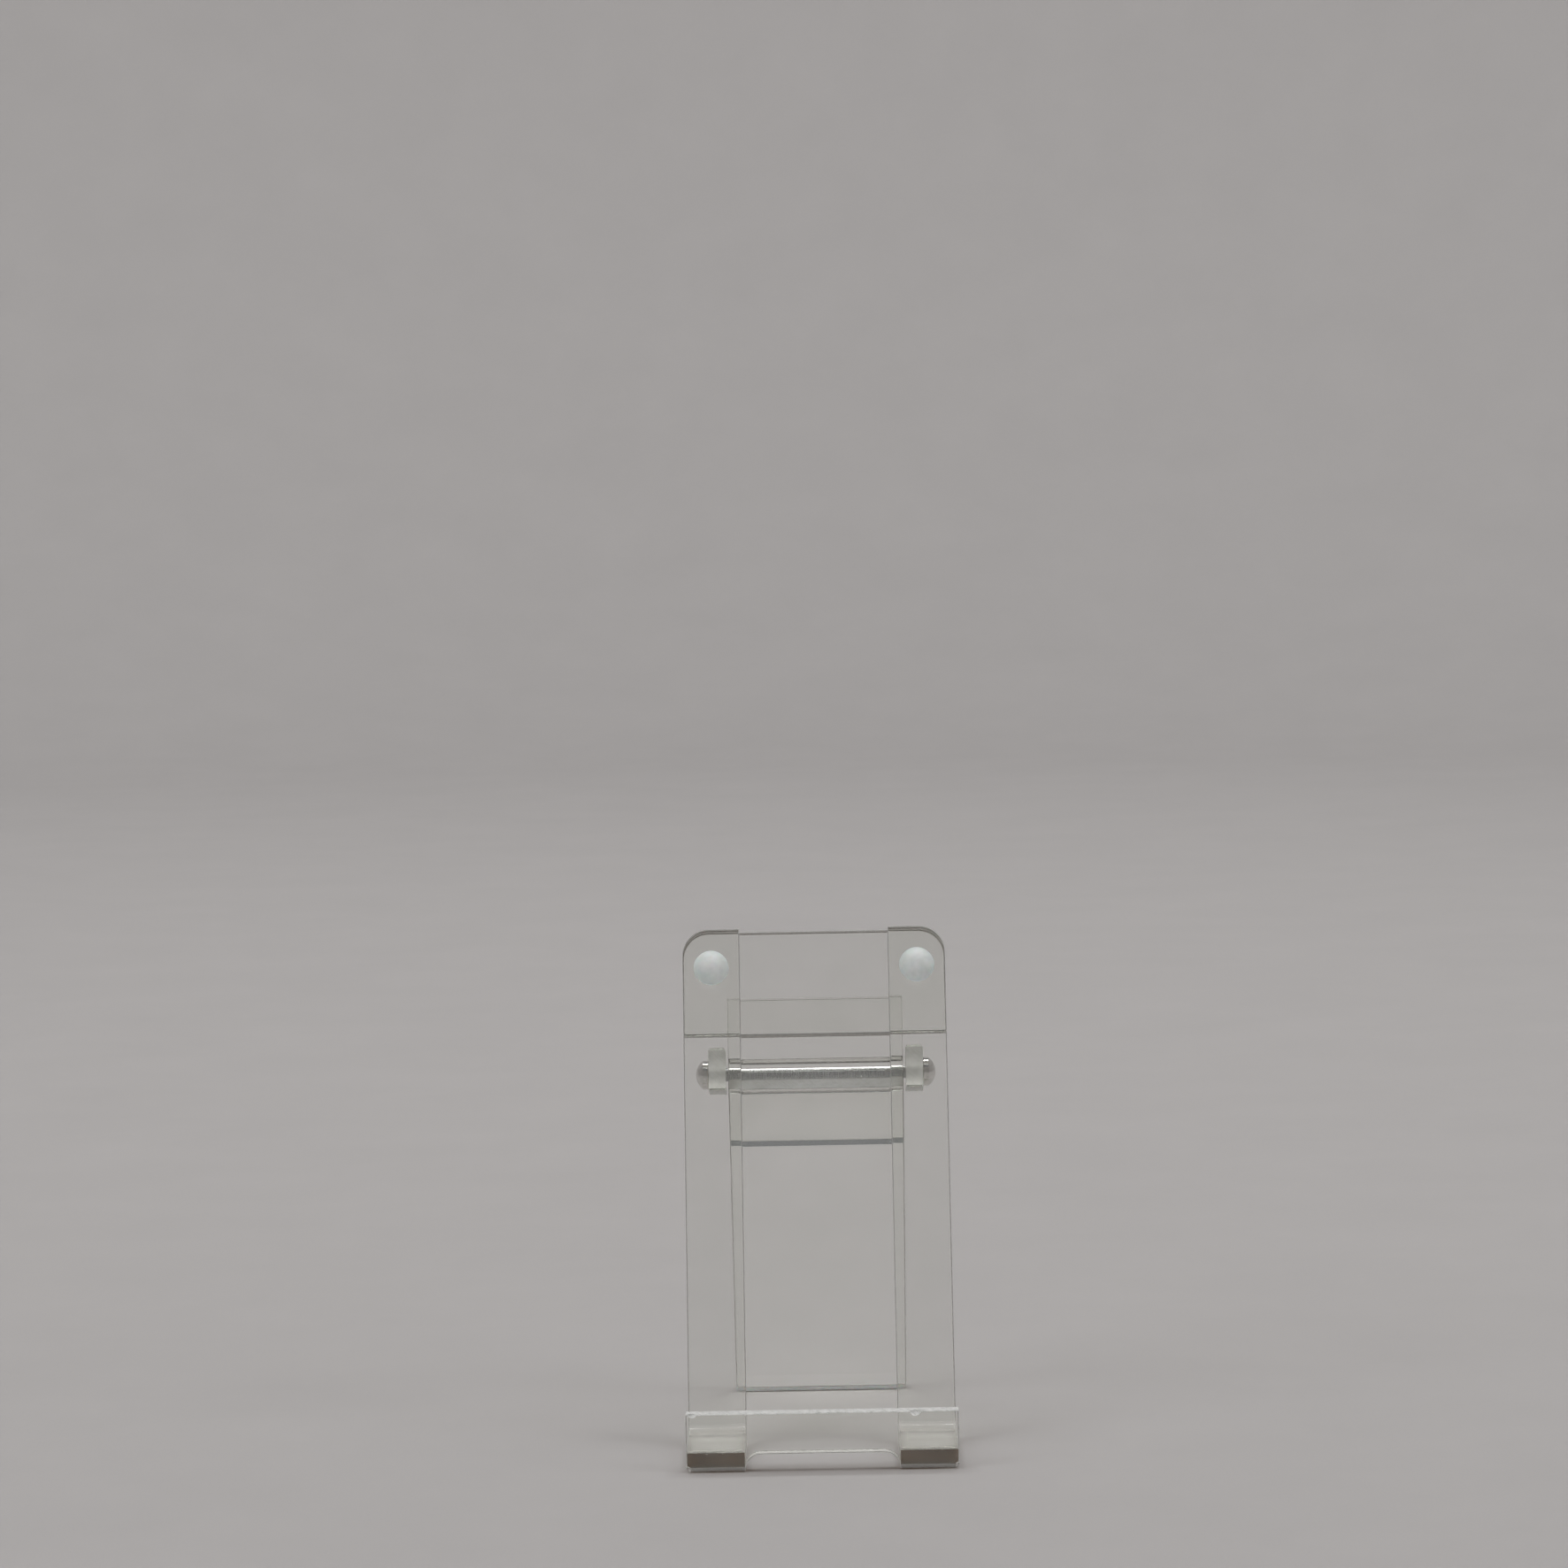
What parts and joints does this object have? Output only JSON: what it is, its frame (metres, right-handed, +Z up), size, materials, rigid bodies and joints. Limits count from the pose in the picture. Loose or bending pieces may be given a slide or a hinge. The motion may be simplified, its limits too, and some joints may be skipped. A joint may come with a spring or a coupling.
{
  "type": "plate display stand",
  "caption": "Small clear acrylic easel for a plate: a low lip with a relieved foot, bent side rails and a rear strut that folds flat.",
  "frame": {"origin": "middle of the footprint on the table, midway between the lip's front face and the rear edge of the open strut's foot", "axes": "+X to the right as seen from the front, +Y to the rear, +Z up"},
  "size_m": [0.06, 0.093, 0.1126],
  "materials": {
    "acrylic": "clear cast acrylic, polished faces and frosted saw-cut edges",
    "pin_steel": "ground stainless steel rod",
    "cap_steel": "bright push-on caps",
    "silicone": "milky clear silicone, satin"
  },
  "bodies": {
    "frame": {"lip": "acrylic", "rail_left": "acrylic", "rail_right": "acrylic", "bridge": "acrylic", "lug_left": "acrylic", "lug_right": "acrylic", "hinge_pin": "pin_steel", "pin_caps": "cap_steel", "bumper_left": "silicone", "bumper_right": "silicone"},
    "strut": {"strut": "acrylic", "hinge_leaf": "acrylic", "strut_foot": "silicone"}
  },
  "joints": [
    {"name": "strut_fold", "type": "hinge", "parent": "frame", "child": "strut", "pos_m": [0, 0.01853, 0.07845], "axis": [-1, 0, 0], "range_deg": [0, 40]}
  ]
}
